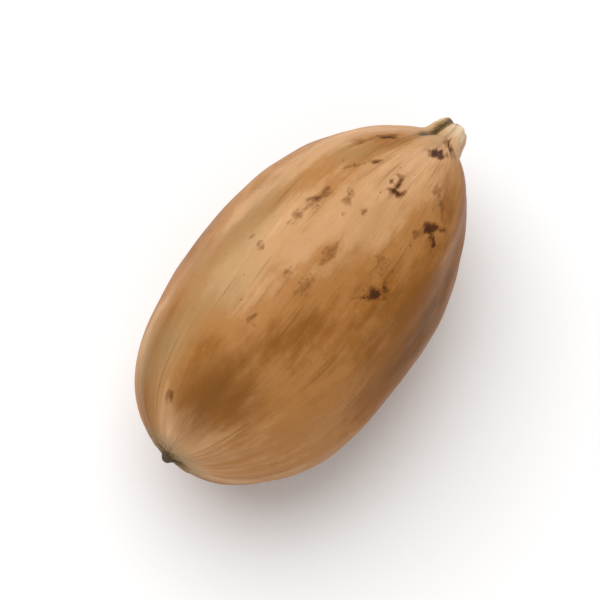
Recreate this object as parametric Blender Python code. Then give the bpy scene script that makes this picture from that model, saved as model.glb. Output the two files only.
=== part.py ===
"""A pecan in its shell, lying on its side.

Metres, +Z up. The nut's long axis runs along X, with the nib of its base at -X and its beak at +X. The
origin is on the surface that the nut rests on, under the middle of its box.

The nut grew as one body, so it is one solid. Its surface is one function of two parameters: how far along the
nut a point lies, from 0 at the nib to 1 at the tip of the beak, and its angle round the long axis, from +Y
towards +Z. The function adds up the turned outline, the oval and four-cornered cross-section, the two seams,
the two ridges between them, the shallow flutes and the creases of the beak.
"""

import math

import bmesh
import bpy
import numpy as np

# The whole nut
LENGTH = 0.0435
WIDTH = 0.0230
FLATTENING = 0.017  # half the share by which it is wider than it is high

# The outline of its body, in shares of the length
BASE_END = 0.012
WIDEST_AT = 0.47
APEX_END = 0.945
BASE_POWERS = (2.6, 2.0)  # a blunt, full base
APEX_POWERS = (2.1, 1.65)  # sides that lean in to the shoulders
# Where the middle line leans aside, over what span of the length, and how far along Y
SWAYS = ((0.27, 0.22, -0.0007), (0.75, 0.11, 0.0003))

# The nib of the base and the beak of the apex
NIB_RADIUS = 0.00075
NIB_LENGTH = 0.0006
BEAK_ROOT_RADIUS = 0.0027
BEAK_TIP_RADIUS = 0.00125
BEAK_LENGTH = 0.0038
BEAK_ROUNDING = 0.0007
BLEND_POWER = 5.0  # how tightly the nib and the beak meet the body

# The two seams, where the halves of the shell meet
SEAM_BASE_ANGLE = math.radians(40)
SEAM_APEX_ANGLE = math.radians(64)
SEAM_TURN_SPAN = (0.26, 0.68)  # where the seam turns from the one angle to the other
SEAM_BEND = math.radians(13)  # the seam bows this far aside below the beak
SEAM_BEND_AT = 0.885
SEAM_BEND_SPAN = 0.05
SEAM_RISE = 0.00030
SEAM_BAND = 0.0015
SEAM_GROOVE = 0.00020
SEAM_GROOVE_HALF_WIDTH = 0.00042
SEAM_MIDDLE_STRENGTH = 0.45
SEAM_BASE_STRENGTH = 0.70
SEAM_APEX_SPAN = (0.55, 0.90)
SEAM_BASE_SPAN = (0.05, 0.25)

# The four corners near the apex, of which two carry ridges
CORNER_ANGLE = math.radians(57)
CORNER_SHARE = 0.030
CORNER_AT = 0.84
CORNER_SPAN = 0.13
RIDGE_RISE = 0.00035
RIDGE_HALF_ANGLE = math.radians(13)
RIDGE_SPAN = (0.42, 0.84)

# Shallow flutes: how many go round the nut, and how high they stand
FLUTES = ((5, 0.00008), (7, 0.00008), (9, 0.00007), (13, 0.00004))
FLUTE_STEP = 1.7  # sets the flutes of each width off from the others
FLUTE_WANDER = 0.8
FLUTE_TURN = math.radians(28)  # puts a broad flute under the weight
# Broad lumps: how many go round, their pace along the nut, and where they start on each
LUMPS = ((2, 9.0, 1.1, 0.6), (3, 14.0, -0.4, 2.0))
LUMP_RISE = 0.00006
SMALL_RADIUS = 0.0045  # relief fades on parts thinner than this

# Creases of the beak
BEAK_CREASES = 4
BEAK_CREASE_SHARE = 0.10
BEAK_CREASE_TURN = math.radians(110)  # the angle of one rib

FLAT_DEPTH = 0.00016  # the thickness that the flat spot takes off the lowest side

# The net of points
ROWS = 58
COLUMNS = 72
ROW_CROWDING = 0.80  # rows gather at both ends
COLUMN_CROWDING = 0.55  # columns gather at the seams

SHELL_COLOUR = (0.47, 0.25, 0.105, 1.0)
SHELL_ROUGHNESS = 0.48


def clear_scene():
    """Removes every object that the scene holds."""
    for item in list(bpy.data.objects):
        bpy.data.objects.remove(item)


def smooth_step(start, end, value):
    """0 before start, 1 after end, and a smooth rise between them."""
    share = np.clip((value - start) / (end - start), 0.0, 1.0)
    return share * share * (3.0 - 2.0 * share)


def bell(distance, half_width):
    """1 at distance 0, falling away smoothly on both sides."""
    return np.exp(-((distance / half_width) ** 2))


def turned_radius(along):
    """The radius of the nut as if it were turned on a lathe, before any relief."""
    to_base = np.clip((WIDEST_AT - along) / (WIDEST_AT - BASE_END), 0.0, 1.0)
    to_apex = np.clip((along - WIDEST_AT) / (APEX_END - WIDEST_AT), 0.0, 1.0)
    base_side = (1.0 - to_base ** BASE_POWERS[0]) ** (1.0 / BASE_POWERS[1])
    apex_side = (1.0 - to_apex ** APEX_POWERS[0]) ** (1.0 / APEX_POWERS[1])
    body = WIDTH / 2 * np.where(along < WIDEST_AT, base_side, apex_side)

    from_nib = np.clip(1.0 - along * LENGTH / NIB_LENGTH, 0.0, 1.0)
    nib = NIB_RADIUS * np.sqrt(1.0 - from_nib**2)

    from_tip = (1.0 - along) * LENGTH
    taper = BEAK_TIP_RADIUS + (BEAK_ROOT_RADIUS - BEAK_TIP_RADIUS) * from_tip / BEAK_LENGTH
    rounding = np.sqrt(1.0 - np.clip(1.0 - from_tip / BEAK_ROUNDING, 0.0, 1.0) ** 2)
    beak = np.where(from_tip < BEAK_LENGTH, taper, BEAK_ROOT_RADIUS) * rounding

    end = np.where(along < WIDEST_AT, nib, beak)
    return (body**BLEND_POWER + end**BLEND_POWER) ** (1.0 / BLEND_POWER)


def seam_angle(along):
    """The angle of the upper seam; the other seam lies opposite."""
    turn = (SEAM_APEX_ANGLE - SEAM_BASE_ANGLE) * smooth_step(*SEAM_TURN_SPAN, along)
    return SEAM_BASE_ANGLE + turn + SEAM_BEND * bell(along - SEAM_BEND_AT, SEAM_BEND_SPAN)


def seam_relief(along, from_seam, radius):
    """Two raised bands with a groove along their middles, strongest towards the ends of the nut."""
    turned = np.abs(np.arcsin(np.sin(from_seam)))
    distance = turned * radius
    strength = SEAM_MIDDLE_STRENGTH
    strength += (1.0 - SEAM_MIDDLE_STRENGTH) * smooth_step(*SEAM_APEX_SPAN, along)
    strength += (SEAM_BASE_STRENGTH - SEAM_MIDDLE_STRENGTH) * (1.0 - smooth_step(*SEAM_BASE_SPAN, along))
    band = SEAM_RISE * bell(distance, SEAM_BAND)
    groove = SEAM_GROOVE * bell(distance, SEAM_GROOVE_HALF_WIDTH)
    return strength * (band - groove)


def ridge_relief(along, angle):
    """The two rounded ridges on the corners between the seams, which rise towards the apex."""
    turned = np.abs(np.arcsin(np.cos(angle - CORNER_ANGLE)))
    return RIDGE_RISE * smooth_step(*RIDGE_SPAN, along) * bell(turned, RIDGE_HALF_ANGLE)


def flute_relief(along, angle):
    """Shallow lengthwise flutes of several widths, with two broad lumps that break up their run."""
    relief = np.zeros_like(angle)
    for count, rise in FLUTES:
        wander = FLUTE_WANDER * np.sin(math.pi * along + count)
        relief += rise * np.cos(count * (angle - FLUTE_TURN + FLUTE_STEP) + wander)
    for count, pace, turn, start in LUMPS:
        relief += LUMP_RISE * np.sin(pace * along + start) * np.cos(count * angle + turn)
    return relief


def nut_surface(along, angle):
    """The point of the nut's surface at each place along it and each angle round it."""
    turned = turned_radius(along)
    from_seam = angle - seam_angle(along)
    corners = CORNER_SHARE * bell(along - CORNER_AT, CORNER_SPAN) * np.cos(4.0 * (angle - CORNER_ANGLE))
    beak_start = 1.0 - BEAK_LENGTH / LENGTH
    creases = BEAK_CREASE_SHARE * smooth_step(beak_start, 1.0, along)
    creases = creases * np.cos(BEAK_CREASES * (angle - BEAK_CREASE_TURN))
    oval = FLATTENING * np.cos(2.0 * angle)
    relief = seam_relief(along, from_seam, turned) + ridge_relief(along, angle)
    relief = relief + flute_relief(along, angle)
    fade = smooth_step(0.0, SMALL_RADIUS, turned)
    radius = turned * (1.0 + oval + corners + creases) + relief * fade

    sway = sum(aside * bell(along - at, span) for at, span, aside in SWAYS) * fade
    x = (along - 0.5) * LENGTH
    y = sway + radius * np.cos(angle)
    z = radius * np.sin(angle)
    return np.stack([x, y, z], axis=-1)


def net_of_points():
    """The rings of points between the two poles: rows along the nut, columns round it."""
    share = np.arange(1, ROWS) / ROWS
    along = share - ROW_CROWDING * np.sin(2.0 * math.pi * share) / (2.0 * math.pi)
    turn = 2.0 * math.pi * np.arange(COLUMNS) / COLUMNS
    from_seam = turn - COLUMN_CROWDING / 2.0 * np.sin(2.0 * turn)
    along, from_seam = np.meshgrid(along, from_seam, indexing="ij")
    return nut_surface(along, seam_angle(along) + from_seam)


def nut_mesh():
    """The closed shell: rings of faces between a fan at the nib and a fan at the beak."""
    rings = net_of_points()
    poles = nut_surface(np.array([0.0, 1.0]), np.array([0.0, 0.0]))
    shape = bmesh.new()
    nib, tip = (shape.verts.new(point) for point in poles)
    rows = [[shape.verts.new(point) for point in ring] for ring in rings]
    for column in range(COLUMNS):
        after = (column + 1) % COLUMNS
        shape.faces.new((nib, rows[0][after], rows[0][column]))
        shape.faces.new((tip, rows[-1][column], rows[-1][after]))
        for low, high in zip(rows, rows[1:]):
            shape.faces.new((low[column], low[after], high[after], high[column]))
    return shape


def cut_flat_spot(shape):
    """Slices a thin cap off the lowest side, closes the cut and stands it on the resting surface."""
    lowest = min(vertex.co.z for vertex in shape.verts)
    cut_at = lowest + FLAT_DEPTH
    whole = shape.verts[:] + shape.edges[:] + shape.faces[:]
    bmesh.ops.bisect_plane(
        shape, geom=whole, dist=1e-7, plane_co=(0, 0, cut_at), plane_no=(0, 0, 1), clear_inner=True
    )
    rim = [edge for edge in shape.edges if edge.is_boundary]
    bmesh.ops.edgeloop_fill(shape, edges=rim)
    bmesh.ops.recalc_face_normals(shape, faces=shape.faces[:])
    middle_x = (min(v.co.x for v in shape.verts) + max(v.co.x for v in shape.verts)) / 2
    middle_y = (min(v.co.y for v in shape.verts) + max(v.co.y for v in shape.verts)) / 2
    bmesh.ops.translate(shape, verts=shape.verts[:], vec=(-middle_x, -middle_y, -cut_at))


def shell_material():
    """Dry pecan shell: a satin, warm tan."""
    material = bpy.data.materials.new("pecan_shell")
    material.use_nodes = True
    shader = material.node_tree.nodes["Principled BSDF"]
    shader.inputs["Base Color"].default_value = SHELL_COLOUR
    shader.inputs["Roughness"].default_value = SHELL_ROUGHNESS
    shader.inputs["Metallic"].default_value = 0.0
    return material


def pecan_nut():
    """The whole nut as one object, shaded smooth but for the edge of its flat spot."""
    shape = nut_mesh()
    cut_flat_spot(shape)
    mesh = bpy.data.meshes.new("pecan_nut")
    shape.to_mesh(mesh)
    shape.free()
    mesh.materials.append(shell_material())
    mesh.shade_smooth()
    mesh.set_sharp_from_angle(angle=math.radians(50))
    nut = bpy.data.objects.new("pecan_nut", mesh)
    bpy.context.scene.collection.objects.link(nut)
    return nut


clear_scene()
pecan_nut()
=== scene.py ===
"""The looks of a pecan in its shell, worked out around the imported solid.

The nut grew as one body, so what shows is one closed piece. It has the outline, seams, ridges, flutes and
beak of the solid that it stands for, on a net fine enough for the shell's small relief: the line of the seam,
the folds at the apex, the creases of the beak, the scar of the nib and low unevenness.

Lengths are metres unless a name says mm. A place on the nut is given by two numbers: its share of the length,
from 0 at the nib to 1 at the tip of the beak, and its angle round the long axis, from +Y towards +Z.
"""

import logging
import math
from dataclasses import dataclass, field
from enum import Enum, IntEnum
from typing import Any

import bpy
import numpy as np
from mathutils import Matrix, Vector


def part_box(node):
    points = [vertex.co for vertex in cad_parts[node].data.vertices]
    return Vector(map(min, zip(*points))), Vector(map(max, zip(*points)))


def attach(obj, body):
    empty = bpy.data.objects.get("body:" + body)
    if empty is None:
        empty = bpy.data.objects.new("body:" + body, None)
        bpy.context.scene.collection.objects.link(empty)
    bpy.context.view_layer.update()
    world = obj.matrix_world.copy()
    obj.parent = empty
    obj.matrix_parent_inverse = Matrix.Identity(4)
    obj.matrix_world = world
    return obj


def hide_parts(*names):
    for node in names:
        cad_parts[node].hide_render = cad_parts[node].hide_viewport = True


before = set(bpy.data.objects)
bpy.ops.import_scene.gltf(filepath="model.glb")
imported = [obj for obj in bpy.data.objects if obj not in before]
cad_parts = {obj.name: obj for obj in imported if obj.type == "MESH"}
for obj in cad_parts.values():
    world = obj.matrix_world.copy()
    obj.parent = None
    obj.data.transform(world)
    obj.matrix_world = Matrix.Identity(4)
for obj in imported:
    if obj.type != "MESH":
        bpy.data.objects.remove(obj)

Array = np.ndarray
log = logging.getLogger("pecan")

NUT_NODE = "pecan_nut"
BODY = "root"
MM = 0.001


class Seed(IntEnum):
    """The seed of each random draw."""

    UNEVENNESS = 11
    RIPPLE = 12
    FOLDS = 13
    FOLD_PATCHES = 14
    ROUGH_ENDS = 15
    WARP_LENGTHWISE = 21
    WARP_ACROSS = 22
    FAR_SIDE = 2026


def linear(hex_colour: str) -> tuple[float, float, float, float]:
    """Turns an sRGB hex colour into linear light.

    Args:
        hex_colour: The colour as "#rrggbb".

    Returns:
        Red, green, blue and an alpha of 1.
    """
    shares = [int(hex_colour[start : start + 2], 16) / 255 for start in (1, 3, 5)]
    red, green, blue = (s / 12.92 if s <= 0.04045 else ((s + 0.055) / 1.055) ** 2.4 for s in shares)
    return red, green, blue, 1.0


def smooth_step(start: float, end: float, value: Array) -> Array:
    """A smooth rise from 0 at start to 1 at end: 3s² - 2s³ of the share s of the way between them."""
    share = np.clip((value - start) / (end - start), 0.0, 1.0)
    return share * share * (3.0 - 2.0 * share)


def bell(distance: Array, half_width: Array | float) -> Array:
    """A bell curve: 1 at distance 0, falling away on both sides, to 1/e where distance is half_width."""
    return np.exp(-((distance / half_width) ** 2))


def plane_waves(points: Array, wavelength: float, seed: int, count: int = 28) -> Array:
    """Soft noise: the sum of cosines of one wavelength that run in random directions.

    Args:
        points: Places in mm, with the last axis of length 3.
        wavelength: The distance between crests in mm.
        seed: The seed of the directions and starts.
        count: How many cosines are added.

    Returns:
        Noise of mean 0 that mostly lies between -2 and 2.
    """
    draw = np.random.default_rng(seed)
    directions = draw.normal(size=(count, 3))
    directions *= 2.0 * math.pi / wavelength / np.linalg.norm(directions, axis=1, keepdims=True)
    starts = draw.uniform(0.0, 2.0 * math.pi, count)
    total = sum(np.cos(points @ direction + start) for direction, start in zip(directions, starts))
    return total * math.sqrt(2.0 / count)


def add(tree: bpy.types.NodeTree, kind: str, links: dict[Any, Any] | None = None, **settings: Any) -> Any:
    """Adds one shader node with its settings and links.

    Args:
        tree: The node tree that gets the node.
        kind: The node's type, such as "ShaderNodeTexNoise".
        links: For each input, by name or place, an output socket to link or a value to set. Where several
            inputs share a name, the one that is in use gets it.
        settings: The node's own properties.

    Returns:
        The new node.
    """
    node = tree.nodes.new(kind)
    for name, value in settings.items():
        setattr(node, name, value)
    for name, value in (links or {}).items():
        named = [socket for socket in node.inputs if socket.name == name and socket.enabled]
        socket = named[0] if named else node.inputs[name]
        if isinstance(value, bpy.types.NodeSocket):
            tree.links.new(value, socket)
        else:
            socket.default_value = value
    return node


class MarkKind(Enum):
    """What a mark on the shell is, which sets the field that it is drawn in."""

    SPECK = "a crisp dark fleck"
    STAIN = "a soft brown stain"
    # Some washes are painted light and painted shade rather than the shell's own tan
    WASH = "a wash that deepens or lightens the tan"
    TINT = "a khaki tint"


@dataclass(frozen=True)
class Mark:
    """One mark of the shell.

    Attributes:
        along: Its middle's share of the nut's length.
        around: Its middle's angle round the nut, in degrees.
        length_mm: Its size along the nut.
        width_mm: Its size across the nut.
        strength: How strong it gets, from 0 to 1, or below 0 for a wash that lightens.
        lean: How far it is turned from the nut's length, in degrees.
        kind: What it is.
    """

    along: float
    around: float
    length_mm: float
    width_mm: float
    strength: float = 1.0
    lean: float = 0.0
    kind: MarkKind = MarkKind.SPECK


@dataclass(frozen=True)
class NutForm:
    """The outline and the larger relief of the nut, the same as those of its solid."""

    length: float = 0.0435
    width: float = 0.0230
    flattening: float = 0.017
    base_end: float = 0.012
    widest_at: float = 0.47
    apex_end: float = 0.945
    base_powers: tuple[float, float] = (2.6, 2.0)
    apex_powers: tuple[float, float] = (2.1, 1.65)
    # Where the middle line leans aside, over what span of the length, and how far along Y
    sways: tuple[tuple[float, float, float], ...] = ((0.27, 0.22, -0.0007), (0.75, 0.11, 0.0003))
    nib_radius: float = 0.00075
    nib_length: float = 0.0006
    beak_root_radius: float = 0.0027
    beak_tip_radius: float = 0.00125
    beak_length: float = 0.0038
    beak_rounding: float = 0.0007
    blend_power: float = 5.0
    seam_base_angle: float = math.radians(40)
    seam_apex_angle: float = math.radians(64)
    seam_turn_span: tuple[float, float] = (0.26, 0.68)
    seam_bend: float = math.radians(13)
    seam_bend_at: float = 0.885
    seam_bend_span: float = 0.05
    seam_rise: float = 0.00030
    seam_band: float = 0.0015
    seam_middle_strength: float = 0.45
    seam_base_strength: float = 0.70
    seam_apex_span: tuple[float, float] = (0.55, 0.90)
    seam_base_span: tuple[float, float] = (0.05, 0.25)
    corner_angle: float = math.radians(57)
    corner_share: float = 0.030
    corner_at: float = 0.84
    corner_span: float = 0.13
    ridge_rise: float = 0.00035
    ridge_half_angle: float = math.radians(13)
    ridge_span: tuple[float, float] = (0.42, 0.84)
    # How many flutes of each width go round the nut, and how high they stand
    flutes: tuple[tuple[int, float], ...] = ((5, 0.00008), (7, 0.00008), (9, 0.00007), (13, 0.00004))
    flute_step: float = 1.7
    flute_wander: float = 0.8
    flute_turn: float = math.radians(28)
    # How many lumps go round, their pace along the nut, and where they start on each
    lumps: tuple[tuple[int, float, float, float], ...] = ((2, 9.0, 1.1, 0.6), (3, 14.0, -0.4, 2.0))
    lump_rise: float = 0.00006
    small_radius: float = 0.0045

    def turned_radius(self, along: Array) -> Array:
        """The radius as if turned on a lathe: two powers of the share of the way to each end, nib and beak.

        Args:
            along: Shares of the length.

        Returns:
            The radius at each share.
        """
        to_base = np.clip((self.widest_at - along) / (self.widest_at - self.base_end), 0.0, 1.0)
        to_apex = np.clip((along - self.widest_at) / (self.apex_end - self.widest_at), 0.0, 1.0)
        base_side = (1.0 - to_base ** self.base_powers[0]) ** (1.0 / self.base_powers[1])
        apex_side = (1.0 - to_apex ** self.apex_powers[0]) ** (1.0 / self.apex_powers[1])
        body = self.width / 2 * np.where(along < self.widest_at, base_side, apex_side)
        from_nib = np.clip(1.0 - along * self.length / self.nib_length, 0.0, 1.0)
        nib = self.nib_radius * np.sqrt(1.0 - from_nib**2)
        from_tip = (1.0 - along) * self.length
        widening = (self.beak_root_radius - self.beak_tip_radius) * from_tip / self.beak_length
        rounding = np.sqrt(1.0 - np.clip(1.0 - from_tip / self.beak_rounding, 0.0, 1.0) ** 2)
        beak = np.minimum(self.beak_tip_radius + widening, self.beak_root_radius) * rounding
        end = np.where(along < self.widest_at, nib, beak)
        return (body**self.blend_power + end**self.blend_power) ** (1.0 / self.blend_power)

    def seam_angle(self, along: Array) -> Array:
        """The upper seam's angle: a smooth turn from base to apex, with a bell-shaped bend below the beak.

        Args:
            along: Shares of the length.

        Returns:
            The angle at each share.
        """
        turn = (self.seam_apex_angle - self.seam_base_angle) * smooth_step(*self.seam_turn_span, along)
        bend = self.seam_bend * bell(along - self.seam_bend_at, self.seam_bend_span)
        return self.seam_base_angle + turn + bend

    def to_seam(self, along: Array, angle: Array) -> Array:
        """The distance round the turned shape to the nearer seam, negative on the smaller angle's side."""
        return np.arcsin(np.sin(angle - self.seam_angle(along))) * self.turned_radius(along)

    def seam_strength(self, along: Array) -> Array:
        """How strongly the seams stand out: least at mid-length, more at the base, most at the apex.

        Args:
            along: Shares of the length.

        Returns:
            A factor from seam_middle_strength to 1 at each share.
        """
        apex = (1.0 - self.seam_middle_strength) * smooth_step(*self.seam_apex_span, along)
        base = self.seam_base_strength - self.seam_middle_strength
        return self.seam_middle_strength + apex + base * (1.0 - smooth_step(*self.seam_base_span, along))

    def broad_relief(self, along: Array, angle: Array) -> Array:
        """Adds up the seam bands and the ridges between them, as bells, and the flutes and lumps, as cosines.

        Args:
            along: Shares of the length.
            angle: Angles round the nut.

        Returns:
            How far the surface stands out from the turned shape.
        """
        to_ridge = np.arcsin(np.cos(angle - self.corner_angle))
        relief = self.seam_strength(along) * self.seam_rise * bell(self.to_seam(along, angle), self.seam_band)
        ridge_rise = self.ridge_rise * smooth_step(*self.ridge_span, along)
        relief += ridge_rise * bell(to_ridge, self.ridge_half_angle)
        for count, rise in self.flutes:
            wander = self.flute_wander * np.sin(math.pi * along + count)
            relief += rise * np.cos(count * (angle - self.flute_turn + self.flute_step) + wander)
        for count, pace, turn, start in self.lumps:
            relief += self.lump_rise * np.sin(pace * along + start) * np.cos(count * angle + turn)
        return relief

    def fade(self, radius: Array) -> Array:
        """How much relief a part this thin carries, from 0 on the axis to 1 at small_radius."""
        return smooth_step(0.0, self.small_radius, radius)

    def section(self, along: Array, angle: Array) -> Array:
        """The oval and four-cornered cross-section: 1 plus a cosine of twice and of four times the angle.

        Args:
            along: Shares of the length.
            angle: Angles round the nut.

        Returns:
            The factor that multiplies the turned radius.
        """
        corners = self.corner_share * bell(along - self.corner_at, self.corner_span)
        corners = corners * np.cos(4.0 * (angle - self.corner_angle))
        return 1.0 + self.flattening * np.cos(2.0 * angle) + corners

    def place(self, along: Array, angle: Array, radius: Array) -> Array:
        """Puts a radius at each place along and round the nut's swaying middle line.

        Args:
            along: Shares of the length.
            angle: Angles round the nut.
            radius: The distance from the middle line.

        Returns:
            Points with the long axis along X and its middle at the origin.
        """
        fade = self.fade(self.turned_radius(along))
        sway = sum(aside * bell(along - at, span) for at, span, aside in self.sways) * fade
        return np.stack(
            [(along - 0.5) * self.length, sway + radius * np.cos(angle), radius * np.sin(angle)], axis=-1
        )


@dataclass(frozen=True)
class ShellRelief:
    """The small relief of the shell, too fine for the solid. Heights, widths and wavelengths are in mm.

    A span holds the shares of the length between which something rises to its full strength. A pace is how
    many radians a sine runs through over the whole length.
    """

    form: NutForm = field(default_factory=NutForm)
    groove_depth: float = 0.13
    groove_half_width: float = 0.18
    groove_widening: float = 0.17
    groove_widening_span: tuple[float, float] = (0.86, 0.93)
    groove_wobble: float = 0.12
    groove_quick_wobble: float = 0.6
    groove_wobble_paces: tuple[float, float] = (41.0, 97.0)
    groove_fading: float = 0.34
    groove_fading_paces: tuple[float, float] = (23.0, 63.0)
    groove_starts: tuple[float, float] = (1.0, 0.7)
    groove_whole_span: tuple[float, float] = (0.86, 0.94)
    crevice_share: float = 0.16
    crevice_from: float = 0.5
    lengthwise_squeeze: float = 0.35
    unevenness: float = 0.058
    unevenness_wavelength: float = 4.5
    ripple: float = 0.022
    ripple_wavelength: float = 1.6
    fold: float = 0.060
    fold_count: int = 46
    fold_span: tuple[float, float] = (0.66, 0.93)
    fold_sway: float = 1.6
    fold_sway_wavelength: float = 7.0
    fold_patch_wavelength: float = 5.0
    fold_patch_mean: float = 0.6
    fold_patch_swing: float = 0.5
    fold_patch_most: float = 1.4
    rib_count: int = 4
    rib_angle: float = math.radians(110)
    rib_share: float = 0.20
    rib_mean: float = 0.64
    rib_sharpness: float = 0.02
    rib_twist: float = 0.25
    rib_pace: float = 30.0
    fine_rib_count: int = 13
    fine_rib_share: float = 0.03
    fine_rib_twist: float = 3.0
    end_roughness: float = 0.10
    end_roughness_wavelength: float = 0.9
    scar_span_mm: tuple[float, float] = (0.3, 1.2)

    def grain(self, along: Array, angle: Array) -> Array:
        """Places on a straight cylinder, in mm, so that a pattern on them runs in to both ends of the nut.

        Args:
            along: Shares of the length.
            angle: Angles round the nut.

        Returns:
            The distance along the nut, and the angle as a point on a circle of the nut's own radius.
        """
        radius = self.form.width / 2 / MM
        run = along * self.form.length / MM
        return np.stack([run, radius * np.cos(angle), radius * np.sin(angle)], axis=-1)

    def groove(self, along: Array, angle: Array, spread: float = 1.0) -> Array:
        """The line of the seam: a narrow bell across each seam, which wobbles and whose depth comes and goes.

        Args:
            along: Shares of the length.
            angle: Angles round the nut.
            spread: How many times wider than the line itself the bell is.

        Returns:
            A share from 0 off the seams to 1 in the deepest part of the line.
        """
        slow, quick = self.groove_wobble_paces
        wobble = np.sin(slow * along + self.groove_starts[0])
        wobble += self.groove_quick_wobble * np.sin(quick * along)
        slow, quick = self.groove_fading_paces
        fading = self.groove_fading * np.sin(quick * along + self.groove_starts[1]) * np.sin(slow * along)
        depth = np.maximum(1.0 - self.groove_fading + fading, smooth_step(*self.groove_whole_span, along))
        strength = depth * self.form.seam_strength(along) ** 2
        widening = self.groove_widening * smooth_step(*self.groove_widening_span, along)
        from_line = self.form.to_seam(along, angle) / MM - self.groove_wobble * wobble
        return strength * bell(from_line, (self.groove_half_width + widening) * spread)

    def height(self, along: Array, angle: Array, radius: Array) -> Array:
        """Adds up unevenness and ripples, as soft noise, the folds at the apex, as a cosine, and the groove.

        Args:
            along: Shares of the length.
            angle: Angles round the nut.
            radius: The turned radius at each point.

        Returns:
            Heights in mm over the broad relief.
        """
        places = self.grain(along, angle)
        stretched = places * (self.lengthwise_squeeze, 1.0, 1.0)
        height = self.unevenness * plane_waves(stretched, self.unevenness_wavelength, Seed.UNEVENNESS)
        height += self.ripple * plane_waves(stretched, self.ripple_wavelength, Seed.RIPPLE)
        near_apex = smooth_step(*self.fold_span, along)
        sway = self.fold_sway * plane_waves(stretched, self.fold_sway_wavelength, Seed.FOLDS)
        folds = np.cos(self.fold_count * angle + sway)
        swing = self.fold_patch_swing * plane_waves(places, self.fold_patch_wavelength, Seed.FOLD_PATCHES)
        patches = np.clip(self.fold_patch_mean + swing, 0.0, self.fold_patch_most)
        height += self.fold * near_apex * folds * patches * radius / (self.form.width / 2)
        return height - self.groove_depth * self.groove(along, angle)

    def beak_share(self, along: Array) -> Array:
        """0 on the body, rising smoothly to 1 at the tip of the beak."""
        return smooth_step(1.0 - self.form.beak_length / self.form.length, 1.0, along)

    def ribs(self, along: Array, angle: Array) -> Array:
        """The beak's ribs: the size of a cosine, whose zeros, smoothed a little, are the creases between.

        Args:
            along: Shares of the length.
            angle: Angles round the nut.

        Returns:
            About 1 on a rib and 0.14 in a crease.
        """
        twist = self.rib_twist * np.sin(self.rib_pace * along)
        turned = self.rib_count / 2.0 * (angle - self.rib_angle) + twist
        return np.sqrt(np.cos(turned) ** 2 + self.rib_sharpness)

    def beak_factor(self, along: Array, angle: Array) -> Array:
        """What the ribs add to the factor on the beak's radius, less the crevice that the seam makes there.

        Args:
            along: Shares of the length.
            angle: Angles round the nut.

        Returns:
            The addition, about 0 on average.
        """
        sway = self.fine_rib_twist * np.sin(self.rib_pace * along)
        fine = self.fine_rib_share * np.cos(self.fine_rib_count * angle + sway)
        ribs = self.rib_share * (self.ribs(along, angle) - self.rib_mean)
        thin = 1.0 - self.form.fade(self.form.turned_radius(along))
        crevice = self.crevice_share * thin * (along > self.crevice_from) * self.groove(along, angle)
        return self.beak_share(along) * (ribs + fine) - crevice

    def surface(self, along: Array, angle: Array, fine: bool = True) -> Array:
        """The nut's surface: the middle line plus the turned radius times its section, plus the relief.

        Args:
            along: Shares of the length.
            angle: Angles round the nut.
            fine: Whether the small relief is added.

        Returns:
            Points with the long axis along X and its middle at the origin.
        """
        form = self.form
        turned = form.turned_radius(along)
        relief = form.broad_relief(along, angle)
        section = form.section(along, angle)
        if fine:
            relief = relief + self.height(along, angle, turned) * MM
            section = section + self.beak_factor(along, angle)
        radius = turned * section + relief * form.fade(turned)
        points = form.place(along, angle, radius)
        if fine:
            scar_share = 1.0 - smooth_step(*self.scar_span_mm, along * form.length / MM)
            rough = plane_waves(points / MM, self.end_roughness_wavelength, Seed.ROUGH_ENDS)
            points[..., 0] += self.end_roughness * MM * rough * (self.beak_share(along) + scar_share)
        return points


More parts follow.
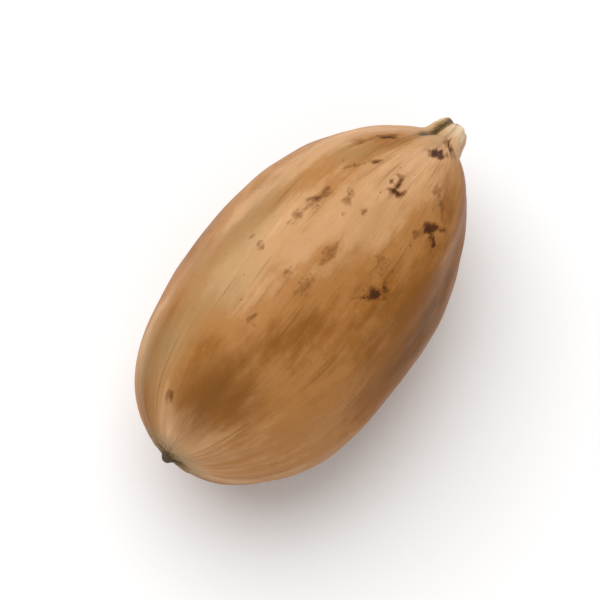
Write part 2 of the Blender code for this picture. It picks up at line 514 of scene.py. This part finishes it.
@dataclass(frozen=True)
class ShellMarks:
    """Where the shell is marked: as the photograph shows, and in the same way where it doesn't reach."""

    form: NutForm = field(default_factory=NutForm)
    placed: tuple[Mark, ...] = (
        # Flecks of the side that shows
        Mark(0.725, 104, 1.7, 0.7, 0.92, 40),
        Mark(0.752, 101, 1.1, 0.5, 0.62, -12),
        Mark(0.738, 96, 0.5, 0.4, 0.5),
        Mark(0.77, 99, 0.9, 0.4, 0.24, 30),
        Mark(0.718, 131, 1.6, 0.7, 1.0, 34),
        Mark(0.7, 135, 1, 0.6, 0.86, -8),
        Mark(0.735, 137, 0.5, 0.4, 0.55),
        Mark(0.682, 126, 1.1, 0.3, 0.34, 4),
        Mark(0.78, 130, 2.4, 0.7, 0.32, -42),
        Mark(0.508, 124, 1.3, 0.9, 1.0, 10),
        Mark(0.541, 127, 1.1, 0.5, 0.74, -35),
        Mark(0.524, 130, 0.6, 0.4, 0.56),
        Mark(0.486, 119, 0.9, 0.3, 0.36, 5),
        Mark(0.569, 119, 1.4, 0.7, 0.18, -30),
        Mark(0.598, 74, 2.1, 0.7, 0.45, 12),
        Mark(0.54, 72, 1.4, 0.7, 0.32, 10),
        Mark(0.64, 86, 1.2, 0.7, 0.32, -20),
        Mark(0.435, 66, 0.8, 0.6, 0.32),
        Mark(0.447, 57, 0.6, 0.4, 0.18),
        Mark(0.424, 86, 1.2, 0.5, 0.24, -40),
        Mark(0.418, 96, 1.6, 0.8, 0.26, 23),
        Mark(0.3, 86, 0.8, 0.6, 0.24),
        Mark(0.512, 96, 2.4, 0.6, 0.18, 3),
        Mark(0.63, 96, 0.6, 0.4, 0.24),
        Mark(0.599, 90, 0.5, 0.4, 0.2),
        Mark(0.754, 81, 1.1, 0.5, 0.36, 40),
        Mark(0.71, 75, 1.8, 0.4, 0.2, 30),
        Mark(0.828, 68, 1.7, 0.4, 0.6, 30),
        Mark(0.784, 63, 1.3, 0.5, 0.3, 30),
        Mark(0.883, 107, 1.7, 0.9, 1.0, 50),
        Mark(0.927, 120, 1.4, 0.7, 0.62, -40),
        Mark(0.082, 68, 0.8, 0.7, 0.42),
        # The brown patch near the base, softer stains beside and above it, and those of other sides
        Mark(0.122, 93, 6.6, 6.2, 0.88, 0, MarkKind.STAIN),
        Mark(0.15, 109, 6.5, 4.5, 0.74, 0, MarkKind.STAIN),
        Mark(0.22, 100, 7, 5, 0.29, 12, MarkKind.STAIN),
        Mark(0.315, 114, 10, 4.6, 0.28, 12, MarkKind.STAIN),
        Mark(0.62, 152, 9, 4, 0.26, 5, MarkKind.STAIN),
        Mark(0.8, 132, 5, 2.6, 0.5, -20, MarkKind.STAIN),
        Mark(0.33, 250, 8, 6, 0.6, 12, MarkKind.STAIN),
        Mark(0.72, 300, 7, 4, 0.55, -8, MarkKind.STAIN),
        # Where the tan is deeper or paler: partly the shell's own blotches, partly painted light and shade
        # Painted light: the lower side near the base made paler
        Mark(0.16, 158, 15, 10, -0.45, 0, MarkKind.WASH),
        Mark(0.08, 122, 9, 9, -0.2, 0, MarkKind.WASH),
        Mark(0.35, 64, 8, 6, -0.2, 0, MarkKind.WASH),
        Mark(0.72, 76, 8, 3, 0.32, 0, MarkKind.WASH),
        # Painted light: the lit area above the middle made paler
        Mark(0.6, 92, 16, 6, -0.17, 8, MarkKind.WASH),
        Mark(0.79, 98, 9, 6, -0.22, 0, MarkKind.WASH),
        Mark(0.395, 111, 11, 4.6, 0.34, 12, MarkKind.WASH),
        Mark(0.3, 145, 12, 6, -0.16, 0, MarkKind.WASH),
        # Painted shade: the lower right side deepened as if shaded
        Mark(0.56, 166, 26, 7, 0.6, 0, MarkKind.WASH),
        Mark(0.19, 60, 8, 5, 0.26, 0, MarkKind.WASH),
        Mark(0.58, 46, 12, 4.5, 0.14, 0, MarkKind.WASH),
        Mark(0.45, 300, 16, 8, -0.25, 0, MarkKind.WASH),
        Mark(0.047, 92, 4, 6, -0.4, 0, MarkKind.WASH),
        Mark(0.215, 73, 6, 4, 0.22, 0, MarkKind.WASH),
        Mark(0.49, 94, 6, 2.6, 0.32, 6, MarkKind.WASH),
        Mark(0.37, 126, 10, 5, 0.14, 0, MarkKind.WASH),
        Mark(0.44, 26, 11, 4, 0.2, 0, MarkKind.WASH),
        Mark(0.63, 112, 7, 5, -0.44, 0, MarkKind.WASH),
        Mark(0.74, 116, 5, 4, -0.1, 0, MarkKind.WASH),
        Mark(0.495, 54, 11, 2.6, 0.34, 0, MarkKind.WASH),
        Mark(0.19, 25, 11, 3.4, -0.56, 20, MarkKind.WASH),
        Mark(0.38, 86, 5, 4, 0.16, 0, MarkKind.WASH),
        Mark(0.59, 76, 8, 1.9, 0.34, 0, MarkKind.WASH),
        Mark(0.81, 76, 5, 3.2, 0.48, 0, MarkKind.WASH),
        Mark(0.69, 83, 7, 3, 0.18, 0, MarkKind.WASH),
        Mark(0.51, 84, 8, 2.8, 0.16, 0, MarkKind.WASH),
        Mark(0.805, 113, 5, 4, -0.17, 0, MarkKind.WASH),
        Mark(0.457, 106, 4, 4, -0.18, 0, MarkKind.WASH),
        # Khaki, mostly beside the seams
        Mark(0.29, 54, 16, 9, 0.85, 0, MarkKind.TINT),
        Mark(0.52, 52, 15, 5.5, 0.7, 0, MarkKind.TINT),
        Mark(0.13, 38, 10, 6, 0.55, 0, MarkKind.TINT),
        Mark(0.76, 66, 8, 4, 0.45, 0, MarkKind.TINT),
        Mark(0.88, 150, 6, 3, 0.4, 0, MarkKind.TINT),
        Mark(0.3, 215, 15, 8, 0.6, 0, MarkKind.TINT),
        Mark(0.65, 330, 13, 7, 0.6, 0, MarkKind.TINT),
    )
    reach: float = 1.6
    falloff: float = 0.8
    warp_mm: float = 0.20
    warp_span_mm: float = 1.5
    hidden_count: int = 64
    hidden_arc: tuple[float, float] = (196.0, 372.0)
    hidden_span: tuple[float, float] = (0.10, 0.95)
    hidden_crowding: tuple[float, float] = (2.2, 1.3)
    hidden_width_mm: tuple[float, float] = (0.35, 0.95)
    hidden_stretch: tuple[float, float] = (1.2, 3.2)
    hidden_strength: tuple[float, float] = (0.15, 0.85)
    hidden_lean: float = 12.0

    def of_kind(self, kind: MarkKind) -> list[Mark]:
        """The placed marks of one kind."""
        return [mark for mark in self.placed if mark.kind is kind]

    def hidden(self) -> list[Mark]:
        """Draws the flecks of the far side, seeded: most lie towards the apex and run lengthwise.

        Returns:
            One speck for each draw.
        """
        draw = np.random.default_rng(Seed.FAR_SIDE)
        start, end = self.hidden_span
        marks = []
        for _ in range(self.hidden_count):
            along = start + (end - start) * draw.beta(*self.hidden_crowding)
            width = draw.uniform(*self.hidden_width_mm)
            around = draw.uniform(*self.hidden_arc)
            length = width * draw.uniform(*self.hidden_stretch)
            strength = draw.uniform(*self.hidden_strength)
            marks.append(Mark(along, around, length, width, strength, draw.normal(0.0, self.hidden_lean)))
        return marks

    def warped(self, along: Array, angle: Array, grain: Array) -> tuple[Array, Array]:
        """Shifts places lengthwise and sideways by soft noise, so that no fleck keeps a plain oval shape.

        Args:
            along: Shares of the length.
            angle: Angles round the nut.
            grain: The same places on a straight cylinder, in mm.

        Returns:
            The shifted shares and angles.
        """
        lengthwise = self.warp_mm * MM * plane_waves(grain, self.warp_span_mm, Seed.WARP_LENGTHWISE)
        across = self.warp_mm * MM * plane_waves(grain, self.warp_span_mm, Seed.WARP_ACROSS)
        return along + lengthwise / self.form.length, angle + across / (self.form.width / 2)

    def distance(self, mark: Mark, along: Array, angle: Array) -> Array:
        """The distance from a mark's middle, turned by its lean and counted in its own half sizes.

        Args:
            mark: The mark.
            along: Shares of the length.
            angle: Angles round the nut.

        Returns:
            0 at the mark's middle and 1 on the oval of its size.
        """
        lengthwise = (along - mark.along) * self.form.length / MM
        turned = angle - math.radians(mark.around)
        across = np.arctan2(np.sin(turned), np.cos(turned)) * self.form.turned_radius(along) / MM
        lean = math.radians(mark.lean)
        first = (lengthwise * math.cos(lean) + across * math.sin(lean)) / (mark.length_mm / 2)
        second = (across * math.cos(lean) - lengthwise * math.sin(lean)) / (mark.width_mm / 2)
        return np.sqrt(first**2 + second**2)

    def strongest(self, marks: list[Mark], along: Array, angle: Array) -> Array:
        """The strongest mark at each point: strength times 1 less the distance over reach, less a falloff.

        Args:
            marks: The marks to draw.
            along: Shares of the length.
            angle: Angles round the nut.

        Returns:
            0 or less off the marks, rising to a mark's strength at its middle.
        """
        strongest = np.full(along.shape, -1.0)
        for mark in marks:
            reached = self.distance(mark, along, angle) / self.reach
            near = mark.strength * (1.0 - reached) - self.falloff * np.maximum(reached - 1.0, 0.0)
            strongest = np.maximum(strongest, near)
        return strongest

    def wash(self, kind: MarkKind, along: Array, angle: Array) -> Array:
        """The sum of one kind's soft marks: a bell of the distance from each middle, times its strength."""
        marks = self.of_kind(kind)
        return sum(mark.strength * bell(self.distance(mark, along, angle), 1.0) for mark in marks)


@dataclass(frozen=True)
class Pattern:
    """Noise that runs with the grain of the shell.

    Attributes:
        name: What it draws.
        stretch: How many times longer it is along the nut than across.
        size_mm: Its size across the nut.
        detail: How many finer layers it carries.
        roughness: How strong each finer layer is.
    """

    name: str
    stretch: float
    size_mm: float
    detail: float
    roughness: float


@dataclass(frozen=True)
class Sum:
    """A value with others added to it, each weighted and counted from a half, the mean of the patterns.

    Attributes:
        name: What the sum is for.
        start: The name of the value that it starts from.
        weights: The name and weight of each value that is added.
    """

    name: str
    start: str
    weights: tuple[tuple[str, float], ...]


@dataclass(frozen=True)
class Layer:
    """A colour laid over those before it, more and more as a value passes through a range.

    Attributes:
        value: The name of the value.
        start: Where in the value the layer begins.
        full: Where in the value it reaches its full share.
        share: That full share, from 0 to 1 of what it is laid over.
        colour: Its colour.
    """

    value: str
    start: float
    full: float
    share: float
    colour: str


@dataclass(frozen=True)
class ShellFinish:
    """Dry pecan shell: a hard, woody husk, smooth and faintly waxy, as cleaned and rubbed nuts are.

    It gives the eye a satin tan with a broad soft highlight, lengthwise clouds of paler and deeper brown that
    run in to both ends, crisp dark flecks, and a fine grain that shows only close up.
    """

    palest: str = "#ddab7e"
    ior: float = 1.5
    roughness: float = 0.43
    dry_roughness: float = 0.64
    gloss: float = 0.15
    # The spacing of the tiny dark pores, which are drawn larger than real ones, so that they show
    pore_mm: float = 1.1
    bump_mm: float = 0.045
    # Clouds, patches, mottle and bands are as large as a real shell's blotches, and streaks as its strands.
    # Its hairs, fibres, edges and grit are under 0.1 mm, too fine to show, so they are drawn coarser.
    patterns: tuple[Pattern, ...] = (
        Pattern("clouds", 2.2, 7.0, 2.0, 0.5),
        Pattern("patches", 1.5, 5.0, 1.0, 0.5),
        Pattern("mottle", 1.5, 1.6, 5.0, 0.62),
        Pattern("bands", 8.0, 2.0, 2.0, 0.5),
        Pattern("streaks", 9.0, 0.8, 3.0, 0.6),
        Pattern("hairs", 22.0, 0.42, 2.0, 0.5),
        Pattern("fibres", 14.0, 0.25, 2.0, 0.5),
        Pattern("edges", 1.5, 0.36, 4.0, 0.68),
        Pattern("grit", 1.3, 0.22, 3.0, 0.6),
    )
    sums: tuple[Sum, ...] = (
        Sum(
            "shade",
            "tone",
            (("clouds", 1.1), ("mottle", 0.80), ("bands", 0.38), ("streaks", 0.34), ("fibres", 0.20)),
        ),
        Sum("stained", "stain", (("clouds", 0.55), ("mottle", 0.35))),
        Sum("khaki", "tint", (("patches", 1.2), ("mottle", 0.5))),
        Sum("ragged", "speck", (("edges", 0.90), ("mottle", 0.25), ("streaks", 0.35))),
        Sum("pores", "dots", (("patches", -0.35), ("speck", -0.07))),
        Sum("crease_line_and_shade", "crease", (("edges", 1.10), ("streaks", 0.90))),
        Sum("dry", "from_tip", (("streaks", 3.0), ("mottle", 2.0))),
        Sum("scar", "run", (("mottle", 1.2), ("edges", 0.8))),
        Sum("hairlines", "hairs", (("patches", 0.40),)),
        Sum("height", "fibres", (("streaks", 0.6), ("mottle", 1.2), ("grit", 0.9))),
    )
    layers: tuple[Layer, ...] = (
        # Pale tan to deep brown, the deepest step partly painted shade of the lower right side
        Layer("shade", -0.45, 0.12, 1.0, "#c69666"),
        Layer("shade", 0.12, 0.58, 1.0, "#ad763e"),
        Layer("shade", 0.58, 1.10, 1.0, "#8e5719"),
        Layer("shade", 1.10, 1.70, 1.0, "#6e430d"),
        # Khaki beside the seam, brown stains, dark hairlines and pores
        Layer("khaki", 0.10, 1.25, 0.62, "#a88d62"),
        Layer("stained", -0.05, 0.70, 0.84, "#78470e"),
        Layer("hairlines", 0.62, 0.74, 0.38, "#774616"),
        Layer("pores", 0.19, 0.09, 0.62, "#5c3410"),
        # The beak, which dries to straw, and a painted highlight at its very tip
        Layer("dry", -4.3, -1.9, 0.66, "#dcb78c"),
        Layer("dry", -2.3, -0.5, 0.75, "#f0d8b9"),
        # Flecks: a soft brown edge round a nearly black middle
        Layer("ragged", -0.14, 0.26, 0.66, "#784614"),
        Layer("ragged", 0.20, 0.50, 0.88, "#4a2207"),
        Layer("ragged", 0.48, 0.95, 0.60, "#2a1003"),
        # The seam's dark line and painted shade in the creases: olive sides and a dark bottom
        Layer("crease_line_and_shade", 0.30, 0.80, 0.60, "#8a6a30"),
        Layer("crease_line_and_shade", 0.62, 0.94, 0.80, "#5a4112"),
        Layer("crease_line_and_shade", 0.86, 1.12, 0.85, "#2c1a05"),
        # The scar where the nut hung, its wide olive ring partly painted shade at the base end
        Layer("scar", 1.6, 0.5, 0.55, "#7a6c49"),
        Layer("scar", 0.8, 0.3, 0.85, "#40382a"),
    )

    def material(self, form: NutForm) -> bpy.types.Material:
        """Builds the shell's material on the piece's own attributes.

        Args:
            form: The nut's form, for its length.

        Returns:
            The material.
        """
        material = bpy.data.materials.new("pecan_shell_satin")
        material.use_nodes = True
        tree = material.node_tree
        tree.nodes.clear()
        values = self.values(tree, form)

        colour: Any = linear(self.palest)
        for layer in self.layers:
            span = {"Value": values[layer.value], "From Min": layer.start, "From Max": layer.full}
            span |= {"To Max": layer.share}
            share = add(tree, "ShaderNodeMapRange", span, interpolation_type="SMOOTHSTEP")
            links = {"Factor": share.outputs[0], "A": colour, "B": linear(layer.colour)}
            colour = add(tree, "ShaderNodeMix", links, data_type="RGBA").outputs["Result"]

        dry = add(tree, "ShaderNodeMath", {0: values["ragged"], 1: values["crease"]}).outputs[0]
        span = {"Value": dry, "To Min": self.roughness, "To Max": self.dry_roughness}
        roughness = add(tree, "ShaderNodeMapRange", span)
        relief = {"Height": values["height"], "Distance": self.bump_mm * MM}
        shader = add(
            tree,
            "ShaderNodeBsdfPrincipled",
            {
                "Base Color": colour,
                "Roughness": roughness.outputs[0],
                "Metallic": 0.0,
                "IOR": self.ior,
                "Specular IOR Level": self.gloss,
                "Normal": add(tree, "ShaderNodeBump", relief).outputs["Normal"],
            },
        )
        add(tree, "ShaderNodeOutputMaterial", {"Surface": shader.outputs[0]})
        return material

    def values(self, tree: bpy.types.NodeTree, form: NutForm) -> dict[str, bpy.types.NodeSocket]:
        """Adds the nodes that read the piece's attributes, draw the patterns and add them up.

        Args:
            tree: The material's node tree.
            form: The nut's form, for its length.

        Returns:
            The output socket of each value, by name.
        """
        grain = add(tree, "ShaderNodeAttribute", attribute_name="grain").outputs["Vector"]
        values = {
            name: add(tree, "ShaderNodeAttribute", attribute_name=name).outputs["Fac"]
            for name in ("speck", "stain", "tint", "tone", "crease")
        }
        run = add(tree, "ShaderNodeSeparateXYZ", {0: grain}).outputs["X"]
        values["run"] = run
        values["from_tip"] = add(tree, "ShaderNodeMath", {0: run, 1: -form.length / MM}).outputs[0]
        dots = add(tree, "ShaderNodeTexVoronoi", {"Vector": grain, "Scale": 1.0 / self.pore_mm})
        values["dots"] = dots.outputs["Distance"]
        for pattern in self.patterns:
            squeeze = {0: grain, 1: (1.0 / pattern.stretch, 1.0, 1.0)}
            places = add(tree, "ShaderNodeVectorMath", squeeze, operation="MULTIPLY").outputs[0]
            links = {"Vector": places, "Scale": 1.0 / pattern.size_mm}
            links |= {"Detail": pattern.detail, "Roughness": pattern.roughness}
            values[pattern.name] = add(tree, "ShaderNodeTexNoise", links).outputs["Fac"]
        for addition in self.sums:
            halves = -sum(weight for _, weight in addition.weights) / 2
            total = add(tree, "ShaderNodeMath", {0: values[addition.start], 1: halves}).outputs[0]
            for name, weight in addition.weights:
                links = {0: values[name], 1: weight, 2: total}
                total = add(tree, "ShaderNodeMath", links, operation="MULTIPLY_ADD").outputs[0]
            values[addition.name] = total
        return values


@dataclass(frozen=True)
class PaperFinish:
    """Matt studio paper: smooth, uncoated and nearly white, so it shows only the nut's soft shadow."""

    colour: str = "#fafafa"
    roughness: float = 0.9
    gloss: float = 0.2

    def material(self) -> bpy.types.Material:
        """Builds the paper's material: one plain tint, because its tooth is far too fine to show.

        Returns:
            The material.
        """
        material = bpy.data.materials.new("studio_paper_matt")
        material.use_nodes = True
        shader = material.node_tree.nodes["Principled BSDF"]
        shader.inputs["Base Color"].default_value = linear(self.colour)
        shader.inputs["Roughness"].default_value = self.roughness
        shader.inputs["Specular IOR Level"].default_value = self.gloss
        return material


@dataclass
class PecanShell:
    """The whole visible nut: its form, its small relief, its marks and its finish."""

    relief: ShellRelief = field(default_factory=ShellRelief)
    marks: ShellMarks = field(default_factory=ShellMarks)
    finish: ShellFinish = field(default_factory=ShellFinish)
    rows: int = 274
    columns: int = 360
    row_crowding: float = 0.78
    column_crowding: float = 0.55
    # Partly painted light on the pale upper side and painted shade on the lower right and far sides
    pale_side: float = math.radians(52)
    deep_from: float = math.radians(48)
    deep_slope: float = math.radians(60)
    deep_span: float = math.radians(24)
    far_shade_span: tuple[float, float] = (math.radians(2), math.radians(38))
    deep_tone_and_shade: float = 0.55
    least_tone: float = 0.24
    base_tone: float = 0.42
    base_span: tuple[float, float] = (0.10, 0.52)
    seam_tone: float = 0.26
    seam_tone_half_width: float = 0.0013
    # Painted shade round the seam's line and between the beak's ribs
    crease_shade_spread: float = 2.2
    rib_crease_shade: float = 0.8
    rib_crease_shade_power: float = 0.5
    ridge_tone: float = -0.22
    ridge_tone_at: float = 0.0027
    ridge_tone_half_width: float = 0.0012

    def net(self) -> tuple[Array, Array]:
        """The net's rows and columns: even steps less a sine, so that they gather at the ends and the seams.

        Returns:
            The share of the length and the angle of each point, as rows by columns.
        """
        share = np.arange(1, self.rows) / self.rows
        along = share - self.row_crowding * np.sin(2.0 * math.pi * share) / (2.0 * math.pi)
        turn = 2.0 * math.pi * np.arange(self.columns) / self.columns
        from_seam = turn - self.column_crowding / 2.0 * np.sin(2.0 * turn)
        along, from_seam = np.meshgrid(along, from_seam, indexing="ij")
        return along, self.relief.form.seam_angle(along) + from_seam

    def shift(self) -> Array:
        """How far the form is moved to its solid's place: middles in X and Y and tops in Z are matched.

        Returns:
            The move as a vector.
        """
        along, angle = self.net()
        points = self.relief.surface(along, angle, fine=False).reshape(-1, 3)
        low, high = (np.array(corner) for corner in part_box(NUT_NODE))
        form_low, form_high = points.min(axis=0), points.max(axis=0)
        move = (low + high) / 2 - (form_low + form_high) / 2
        move[2] = high[2] - form_high[2]
        return move

    def closed_mesh(self, points: Array, ends: Array) -> bpy.types.Mesh:
        """Puts the net in a mesh: four-sided faces between the rows, and a fan of triangles at each end.

        Args:
            points: The net's points, as rows by columns by 3.
            ends: The two end points.

        Returns:
            The mesh, with its faces pointing outwards.
        """
        rows, columns = points.shape[:2]
        index = np.arange(rows * columns).reshape(rows, columns)
        after = np.roll(index, -1, axis=1)
        sides = np.stack([index[:-1], after[:-1], after[1:], index[1:]], axis=-1).reshape(-1, 4)
        nib, tip = rows * columns, rows * columns + 1
        base_fan = np.stack([np.full(columns, nib), after[0], index[0]], axis=-1)
        apex_fan = np.stack([np.full(columns, tip), index[-1], after[-1]], axis=-1)
        corners = np.concatenate([sides.ravel(), base_fan.ravel(), apex_fan.ravel()])
        sizes = np.concatenate([np.full(len(sides), 4), np.full(2 * columns, 3)])
        places = np.concatenate([points.reshape(-1, 3), ends])
        mesh = bpy.data.meshes.new("pecan_shell")
        mesh.vertices.add(len(places))
        mesh.vertices.foreach_set("co", places.astype(np.float32).ravel())
        mesh.loops.add(len(corners))
        mesh.loops.foreach_set("vertex_index", corners.astype(np.int32))
        mesh.polygons.add(len(sizes))
        mesh.polygons.foreach_set("loop_start", (np.cumsum(sizes) - sizes).astype(np.int32))
        mesh.update(calc_edges=True)
        mesh.shade_smooth()
        return mesh

    def tone(self, along: Array, angle: Array) -> Array:
        """How deep the tan is: pale beside the upper seam, deeper past a line that turns away from it.

        The pale side is partly painted light on the upper side, and the deeper side partly painted shade of
        the lower right and far sides; the rest is the shell's own tan. It rises smoothly across that line and
        towards the base. The washes, some of them painted light and shade, the seam and the stripe on each
        side of the seam are added as bells.

        Args:
            along: Shares of the length.
            angle: Angles round the nut.

        Returns:
            About 0 where palest to about 1 where deepest.
        """
        # Painted light on the pale upper side, painted shade deepening the lower right and far sides
        turned = np.arctan2(np.sin(angle - self.pale_side), np.cos(angle - self.pale_side))
        past_edge = turned - self.deep_from - self.deep_slope * (along - 0.5)
        deep = smooth_step(-self.deep_span, self.deep_span, past_edge) + smooth_step(*self.far_shade_span, -turned)
        deep = np.minimum(deep, 1.0)
        tone = self.least_tone + self.deep_tone_and_shade * deep
        tone += self.marks.wash(MarkKind.WASH, along, angle)
        tone += self.base_tone * (1.0 - deep) * (1.0 - smooth_step(*self.base_span, along))
        aside = self.relief.form.to_seam(along, angle)
        tone += self.seam_tone * bell(aside, self.seam_tone_half_width)
        return tone + self.ridge_tone * bell(np.abs(aside) - self.ridge_tone_at, self.ridge_tone_half_width)

    def fields(self, along: Array, angle: Array, grain: Array) -> dict[str, Array]:
        """Works out the attributes that the finish reads.

        Args:
            along: Shares of the length.
            angle: Angles round the nut.
            grain: The same places on a straight cylinder, in mm.

        Returns:
            The values of each attribute, by name.
        """
        marks = self.marks
        flecks = [*marks.of_kind(MarkKind.SPECK), *marks.hidden()]
        # Painted shade: the creases between the beak's ribs and a halo round the seam's line are darkened
        beak = self.rib_crease_shade * self.relief.beak_share(along) ** self.rib_crease_shade_power
        shade_between_ribs = beak * (1.0 - self.relief.ribs(along, angle))
        return {
            "speck": marks.strongest(flecks, *marks.warped(along, angle, grain)),
            "stain": marks.strongest(marks.of_kind(MarkKind.STAIN), along, angle),
            "tint": marks.wash(MarkKind.TINT, along, angle),
            "tone": self.tone(along, angle),
            "crease": np.maximum(self.relief.groove(along, angle, self.crease_shade_spread), shade_between_ribs),
        }

    def build(self) -> bpy.types.Object:
        """Makes the nut's mesh with its attributes and dresses it.

        Returns:
            The finished piece, with its place in its mesh.
        """
        along, angle = self.net()
        move = self.shift()
        points = self.relief.surface(along, angle) + move
        ends = self.relief.surface(np.array([0.0, 1.0]), np.zeros(2)) + move
        points[..., 2] = np.maximum(points[..., 2], 0.0)
        mesh = self.closed_mesh(points, ends)

        along = np.append(along.ravel(), (0.0, 1.0))
        angle = np.append(angle.ravel(), (0.0, 0.0))
        grain = self.relief.grain(along, angle)
        cylinder = mesh.attributes.new("grain", "FLOAT_VECTOR", "POINT")
        cylinder.data.foreach_set("vector", grain.astype(np.float32).ravel())
        for name, values in self.fields(along, angle, grain).items():
            attribute = mesh.attributes.new(name, "FLOAT", "POINT")
            attribute.data.foreach_set("value", values.astype(np.float32))
        mesh.materials.append(self.finish.material(self.relief.form))
        nut = bpy.data.objects.new("pecan_shell", mesh)
        bpy.context.scene.collection.objects.link(nut)
        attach(nut, BODY)
        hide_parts(NUT_NODE)
        return nut


@dataclass(frozen=True)
class SoftLight:
    """A round diffuser that faces the nut.

    Attributes:
        name: What it is for.
        direction: Where it stands, seen from the nut.
        size: Its diameter in metres.
        watts: Its power.
        distance: How far it is from the nut, in metres.
    """

    name: str
    direction: tuple[float, float, float]
    size: float
    watts: float
    distance: float = 0.9

    def hang(self, target: Vector) -> None:
        """Hangs the light.

        Args:
            target: The point that it faces.
        """
        data = bpy.data.lights.new(self.name, "AREA")
        data.shape = "DISK"
        data.size = self.size
        data.energy = self.watts
        light = bpy.data.objects.new(self.name, data)
        towards = Vector(self.direction).normalized()
        light.location = target + towards * self.distance
        light.rotation_mode = "QUATERNION"
        light.rotation_quaternion = (-towards).to_track_quat("-Z", "Y")
        bpy.context.scene.collection.objects.link(light)


@dataclass
class Studio:
    """A plain pale floor, soft light and a camera at the photograph's viewing angle."""

    azimuth: float = math.radians(-50.6)
    elevation: float = math.radians(70.0)
    target: tuple[float, float, float] = (-0.0015, 0.0008, 0.0109)
    frame_width: float = 0.0565
    lens_mm: float = 250.0
    sensor_mm: float = 36.0
    floor_side: float = 6.0
    floor_gap: float = 0.00002
    clip_factor: float = 100.0
    lights: tuple[SoftLight, ...] = (
        SoftLight("key", (0.18, 0.42, 0.88), 1.35, 8.3),
        SoftLight("front fill", (-0.62, -0.45, 0.55), 0.8, 0.9),
    )
    sky: str = "#ffffff"
    sky_strength: float = 0.50
    paper: PaperFinish = field(default_factory=PaperFinish)

    def floor(self) -> None:
        """Lays one flat square of paper a hair below the nut."""
        half = self.floor_side / 2
        corners = [(-half, -half), (half, -half), (half, half), (-half, half)]
        mesh = bpy.data.meshes.new("floor")
        mesh.from_pydata([(x, y, -self.floor_gap) for x, y in corners], [], [(0, 1, 2, 3)])
        mesh.materials.append(self.paper.material())
        floor = bpy.data.objects.new("floor", mesh)
        bpy.context.scene.collection.objects.link(floor)

    def light(self) -> None:
        """Hangs the soft lights in an even, dim white surround."""
        world = bpy.data.worlds.new("studio")
        world.use_nodes = True
        background = world.node_tree.nodes["Background"]
        background.inputs["Color"].default_value = linear(self.sky)
        background.inputs["Strength"].default_value = self.sky_strength
        bpy.context.scene.world = world
        for light in self.lights:
            light.hang(Vector(self.target))

    def camera(self) -> None:
        """Sets a long lens back along the viewing direction, where the nut's frame is frame_width wide."""
        data = bpy.data.cameras.new("camera")
        data.lens = self.lens_mm
        data.sensor_width = self.sensor_mm
        camera = bpy.data.objects.new("camera", data)
        flat = math.cos(self.elevation)
        east, north = math.sin(self.azimuth) * flat, -math.cos(self.azimuth) * flat
        back = Vector((east, north, math.sin(self.elevation)))
        distance = self.frame_width * self.lens_mm / self.sensor_mm
        camera.location = Vector(self.target) + back * distance
        camera.rotation_mode = "QUATERNION"
        camera.rotation_quaternion = (-back).to_track_quat("-Z", "Y")
        data.clip_start = distance / self.clip_factor
        data.clip_end = distance * self.clip_factor
        bpy.context.scene.collection.objects.link(camera)
        bpy.context.scene.camera = camera

    def build(self) -> None:
        """Builds the floor, the light and the camera, and shows colours as they are."""
        self.floor()
        self.light()
        self.camera()
        bpy.context.scene.view_settings.view_transform = "Standard"


def main() -> None:
    """Builds the nut and then the studio round it."""
    logging.basicConfig(level=logging.INFO, format="%(name)s: %(message)s")
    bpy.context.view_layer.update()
    nut = PecanShell().build()
    log.info("%s has %d faces", nut.name, len(nut.data.polygons))
    Studio().build()
    log.info("studio is set")


if __name__ == "__main__":
    main()
